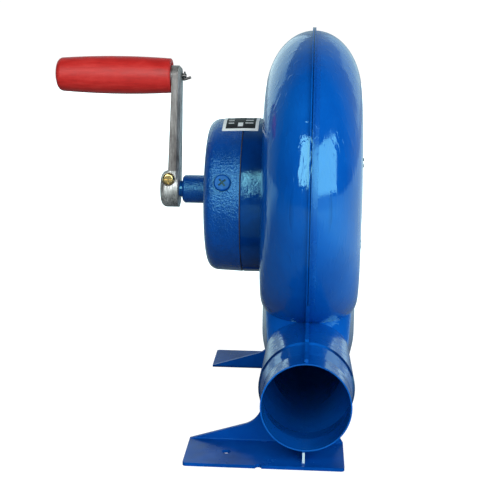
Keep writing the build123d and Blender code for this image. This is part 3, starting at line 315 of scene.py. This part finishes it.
def painted_casting(name, grain_depth, blues):
    """The same enamel over sand-cast iron: the grain shows through as bright specks."""
    paint = Finish(name, IOR=GLOSS_IOR, Specular_Tint=GLOSS_TINT)
    coverage = paint.noise(paint.place(), 30.0, 5.0, 0.6)
    low, middle_blue, high = blues
    paint.colour(paint.colours(coverage, (0.3, low), (0.6, middle_blue), (0.85, high)))
    paint.roughness(paint.range(paint.noise(paint.place(), 300.0), 0.3, 0.7, 0.06, 0.16))
    grain = paint.noise(paint.place(), 620.0, 3.0, 0.6)
    lumps = paint.bump(paint.noise(paint.place(), 150.0, 2.0), 0.15 * MM)
    paint.normal(paint.bump(paint.range(grain, 0.3, 0.7), grain_depth, lumps))
    return paint.material


def bare_casting():
    """Ground cast steel with long scratches and dark pits, and painted shade on the arm's front
    face.
    """
    steel = Finish("bare_casting", Metallic=0.7)
    scratches = steel.noise(steel.place((1.0, 1.0, 0.06)), 900.0, 4.0, 0.65)
    blotches = steel.noise(steel.place((1.0, 1.0, 0.4)), 120.0, 5.0, 0.7)
    worn = steel.overlap(scratches, blotches)
    bright = steel.colours(worn, (0.12, (0.08, 0.075, 0.075)), (0.26, (0.45, 0.44, 0.44)),
                           (0.42, (0.90, 0.88, 0.88)))
    # surfaces facing the front, above the boss, are darkened: painted shade
    front = steel.range(steel.facing("Y"), FRONT_FACING, -0.4, 0.75, 0.0)
    bar = steel.math("GREATER_THAN", steel.along("Z"), CRANK_AXIS.z + BOSS_REACH)
    steel.colour(steel.mix(steel.overlap(front, bar), bright, FRONT_SHADE))
    steel.roughness(steel.range(blotches, 0.3, 0.7, 0.65, 0.4))
    steel.normal(steel.bump(worn, 0.25 * MM))
    return steel.material


def plated(name, colour, roughness=0.25):
    """Plated or machined steel: fine cloudiness and a faint turned grain."""
    steel = Finish(name, Metallic=1.0)
    cloud = steel.noise(steel.place(), 260.0, 4.0, 0.6)
    dull = tuple(0.55 * part for part in colour)
    steel.colour(steel.colours(cloud, (0.25, dull), (0.6, colour)))
    steel.roughness(steel.range(cloud, 0.3, 0.7, roughness + 0.12, roughness))
    grain = steel.noise(steel.place((0.1, 1.0, 1.0)), 1500.0, 2.0)
    steel.normal(steel.bump(grain, 0.03 * MM))
    return steel.material


def moulded_grip():
    """Red moulded grip: matt, with a streaky grain along it and a few rubbed places."""
    grip = Finish("moulded_grip", IOR=1.45)
    streaks = grip.noise(grip.place((0.12, 1.0, 1.0)), 420.0, 4.0, 0.6)
    wear = grip.noise(grip.place(), 60.0, 5.0, 0.65)
    tone = grip.total(grip.math("MULTIPLY", streaks, 0.5), grip.math("MULTIPLY", wear, 0.5))
    grip.colour(grip.colours(tone, (0.3, (0.36, 0.008, 0.008)), (0.5, (0.52, 0.014, 0.012)),
                             (0.7, (0.62, 0.035, 0.03))))
    grip.roughness(grip.range(wear, 0.3, 0.7, 0.42, 0.6))
    grip.normal(grip.bump(streaks, 0.12 * MM))
    return grip.material


def gasket_paper():
    """Oiled gasket paper."""
    paper = Finish("gasket_paper", Roughness=0.8)
    fibres = paper.noise(paper.place(), 1200.0, 4.0)
    paper.colour(paper.colours(fibres, (0.3, (0.02, 0.015, 0.01)), (0.7, (0.08, 0.06, 0.035))))
    return paper.material


LABEL_BACK, LABEL_FRONT = radians(20), radians(28)  # the label's reach from the top
LABEL_BLACK = (0.006, 0.006, 0.008)
BAR_COLUMNS = ((0.15, 0.30), (0.62, 0.84))  # shares of the label's width
BAR_ROWS = (0.14, 0.26, 0.38, 0.50, 0.62, 0.74)  # shares of its length
BAR_HEIGHT = 0.035


def label_print():
    """A data plate with a white margin, a black field and plain white bars, no letters."""
    low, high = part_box("label_plate")
    plate = Finish("label_print", Roughness=0.5, IOR=1.25)
    across = plate.range(plate.along("X"), low[0], high[0])
    rise = plate.math("SUBTRACT", plate.along("Z"), FAN_AXIS.z)
    back = plate.math("SUBTRACT", plate.along("Y"), FAN_AXIS.y)
    around = plate.math("ARCTAN2", back, rise)
    along = plate.range(around, LABEL_BACK, -LABEL_FRONT)

    def block(left, right, first, last):
        """A rectangle on the label, in shares of its width and length."""
        return plate.overlap(plate.between(across, left, right), plate.between(along, first, last))

    field = block(0.09, 0.91, 0.06, 0.94)
    bars = block(0.42, 0.56, 0.74, 0.88)
    for left, right in BAR_COLUMNS:
        for first in BAR_ROWS:
            bars = plate.math("MAXIMUM", bars, block(left, right, first, first + BAR_HEIGHT))
    ink = plate.overlap(field, plate.math("SUBTRACT", 1.0, bars))
    grain = plate.noise(plate.place(), 500.0, 3.0)
    white = plate.colours(grain, (0.2, (0.84, 0.85, 0.86)), (0.7, (0.96, 0.97, 0.98)))
    plate.colour(plate.mix(ink, white, LABEL_BLACK))
    return plate.material


FINISHES = {
    enamel("shell_enamel", seam=True): (
        "casing_shell_gear_side", "casing_shell_inlet_side", "outlet_spigot_gear_side",
        "outlet_spigot_inlet_side",
    ),
    enamel("plain_enamel"): ("inlet_ring", "crank_shaft"),
    thin_enamel(): ("front_foot", "rear_foot"),
    plug_enamel(): ("oil_plug",),
    painted_casting("grainy_casting", 0.3 * MM, (DARK_BLUE, DEEP_BLUE, BLUE)): (
        "gearbox_cover",
    ),
    # the base's blues are one step darker than the cover's: painted shade
    painted_casting("smooth_shaded_casting", 0.04 * MM, (SHADE_BLUE, DARK_BLUE, DEEP_BLUE)): (
        "gearbox_base",
    ),
    bare_casting(): ("crank_arm",),
    plated("zinc", (0.70, 0.71, 0.73)): (
        "gearbox_bolts", "inlet_ring_screws", "fan_washer", "fan_nut", "clamp_nut",
        "grip_washer",
    ),
    plated("black_steel", (0.16, 0.15, 0.15), 0.4): ("split_pin", "grip_spindle"),
    plated("yellow_zinc", (0.83, 0.62, 0.27), 0.2): ("clamp_bolt",),
    plated("gear_steel", (0.55, 0.55, 0.57), 0.3): (
        "crank_wheel", "layshaft_pinion", "layshaft_wheel", "fan_shaft_pinion",
    ),
    plated("galvanised_sheet", (0.60, 0.62, 0.64), 0.35): (
        "fan_hub", "fan_backplate", "fan_blades", "fan_blade_rivets", "fan_hub_rivets",
    ),
    plated("bronze", (0.72, 0.44, 0.20), 0.35): (
        "crank_bush", "layshaft_bush_cover", "layshaft_bush_base", "fan_bush_gear_end",
        "fan_bush_fan_end",
    ),
    moulded_grip(): ("grip",),
    gasket_paper(): ("gearbox_gasket",),
    label_print(): ("label_plate",),
}
for finish, names in FINISHES.items():
    for name in names:
        NODES[name].data.materials.clear()
        NODES[name].data.materials.append(finish)


# ---- Stage ---------------------------------------------------------------------------
FLOOR_REACH = 6.0
FLOOR_SEEN = 0.97  # how much the floor glows for the camera alone, as a cut-out would
FLOOR_GREYS = (0.18, 0.22)  # its own greys, which other rays meet
FLOOR_GLOW = (0.70, 0.96, 1.0, 1.0)
LIT_SIDE = (0.12, 0.50, 0.0, 0.90)  # the floor's glow from x to x, and how strong
LIT_BACK = (0.10, 0.50, 0.0, 0.85)  # the same from y to y
SURROUND_SEEN = 1.05
SURROUND_LIGHT = (0.72, 0.95, 1.0, 1.0)
SURROUND_FADE = (0.1, 0.8, 0.03, 0.55)  # the surround's light, dim in front and stronger behind
LIT_POINT = Vector((SEAM_X, FAN_AXIS.y, 0.17))
LIGHT_DISTANCE = 1.6
CAMERA_PLACE = Vector((SEAM_X, FAN_AXIS.y - 0.801, 0.292))
CAMERA_TURN, CAMERA_TILT, CAMERA_ROLL = radians(-3.5), radians(12.0), radians(0.68)
LENS, SENSOR = 72.0, 36.0


def stage_floor():
    """A plain pale floor, large enough to have no edge in view."""
    mesh = bpy.data.meshes.new("floor")
    signs = ((-1, -1), (1, -1), (1, 1), (-1, 1))
    mesh.from_pydata([(x * FLOOR_REACH, y * FLOOR_REACH, 0) for x, y in signs], [], [(0, 1, 2, 3)])
    floor = bpy.data.objects.new("floor", mesh)
    bpy.context.scene.collection.objects.link(floor)
    pale = Finish("pale_floor", Roughness=0.9, Emission_Color=FLOOR_GLOW)
    dark, light = ((grey, grey, grey) for grey in FLOOR_GREYS)
    pale.colour(pale.colours(pale.noise(pale.place(), 8.0), (0.3, dark), (0.7, light)))
    beside = pale.range(pale.along("X"), *LIT_SIDE)
    behind = pale.range(pale.along("Y"), *LIT_BACK)
    pale.link(pale.math("MAXIMUM", beside, behind), pale.shader.inputs["Emission Strength"])
    glow = pale.node("ShaderNodeEmission")
    glow.inputs["Strength"].default_value = FLOOR_SEEN
    seen = pale.node("ShaderNodeAddShader")
    pale.link(pale.shader.outputs[0], seen.inputs[0])
    pale.link(glow.outputs[0], seen.inputs[1])
    whole = pale.seen_or_cast(seen.outputs[0], pale.shader.outputs[0])
    pale.link(whole, pale.tree.nodes["Material Output"].inputs["Surface"])
    mesh.materials.append(pale.material)


def backdrop():
    """A white surround to look at, and a dim one to light by."""
    world = bpy.data.worlds.new("surround")
    bpy.context.scene.world = world
    world.use_nodes = True
    surround = Nodes(world.node_tree)
    shown = surround.tree.nodes["Background"]
    shown.inputs["Color"].default_value = (1, 1, 1, 1)
    shown.inputs["Strength"].default_value = SURROUND_SEEN
    direction = surround.node("ShaderNodeTexCoord")
    split = surround.node("ShaderNodeSeparateXYZ")
    surround.link(direction.outputs["Generated"], split.inputs["Vector"])
    lighting = surround.node("ShaderNodeBackground")
    lighting.inputs["Color"].default_value = SURROUND_LIGHT
    fade = surround.range(split.outputs["Y"], *SURROUND_FADE)
    surround.link(fade, lighting.inputs["Strength"])
    whole = surround.seen_or_cast(shown.outputs[0], lighting.outputs[0])
    surround.link(whole, surround.tree.nodes["World Output"].inputs["Surface"])


def softbox(name, azimuth, elevation, width, height, power, colour):
    """A soft light turned to the object. Azimuth is in degrees from the front to +X."""
    turn, rise = radians(azimuth), radians(elevation)
    away = Vector((sin(turn) * cos(rise), -cos(turn) * cos(rise), sin(rise)))
    light = bpy.data.lights.new(name, "AREA")
    light.shape = "RECTANGLE"
    light.size, light.size_y = width, height
    light.energy = power
    light.color = colour
    lamp = bpy.data.objects.new(name, light)
    bpy.context.scene.collection.objects.link(lamp)
    lamp.location = LIT_POINT + away * LIGHT_DISTANCE
    lamp.rotation_euler = (-away).to_track_quat("-Z", "Y").to_euler()


def camera():
    """A camera with the lens and the place that fit the object's picture."""
    ahead = Vector((sin(CAMERA_TURN) * cos(CAMERA_TILT), cos(CAMERA_TURN) * cos(CAMERA_TILT),
                    -sin(CAMERA_TILT)))
    right = Vector((cos(CAMERA_TURN), -sin(CAMERA_TURN), 0))
    up = right.cross(ahead)
    right_rolled = right * cos(CAMERA_ROLL) + up * sin(CAMERA_ROLL)
    up_rolled = up * cos(CAMERA_ROLL) - right * sin(CAMERA_ROLL)
    data = bpy.data.cameras.new("camera")
    data.lens, data.sensor_width = LENS, SENSOR
    made = bpy.data.objects.new("camera", data)
    bpy.context.scene.collection.objects.link(made)
    turned = Matrix((right_rolled, up_rolled, -ahead)).transposed()
    made.matrix_world = Matrix.Translation(CAMERA_PLACE) @ turned.to_4x4()
    bpy.context.scene.camera = made


stage_floor()
backdrop()
softbox("left_window", -20, 24, 0.72, 0.95, 14, (0.95, 1.0, 0.98))
softbox("right_window", 37, 19, 1.95, 1.0, 28, (0.82, 1.0, 0.97))
softbox("left_rim", -150, 22, 1.2, 1.0, 3.2, (0.75, 0.97, 1.0))
softbox("right_rim", 155, 18, 0.9, 0.8, 0.8, (0.60, 0.95, 1.0))
camera()
bpy.context.scene.view_settings.view_transform = "Standard"
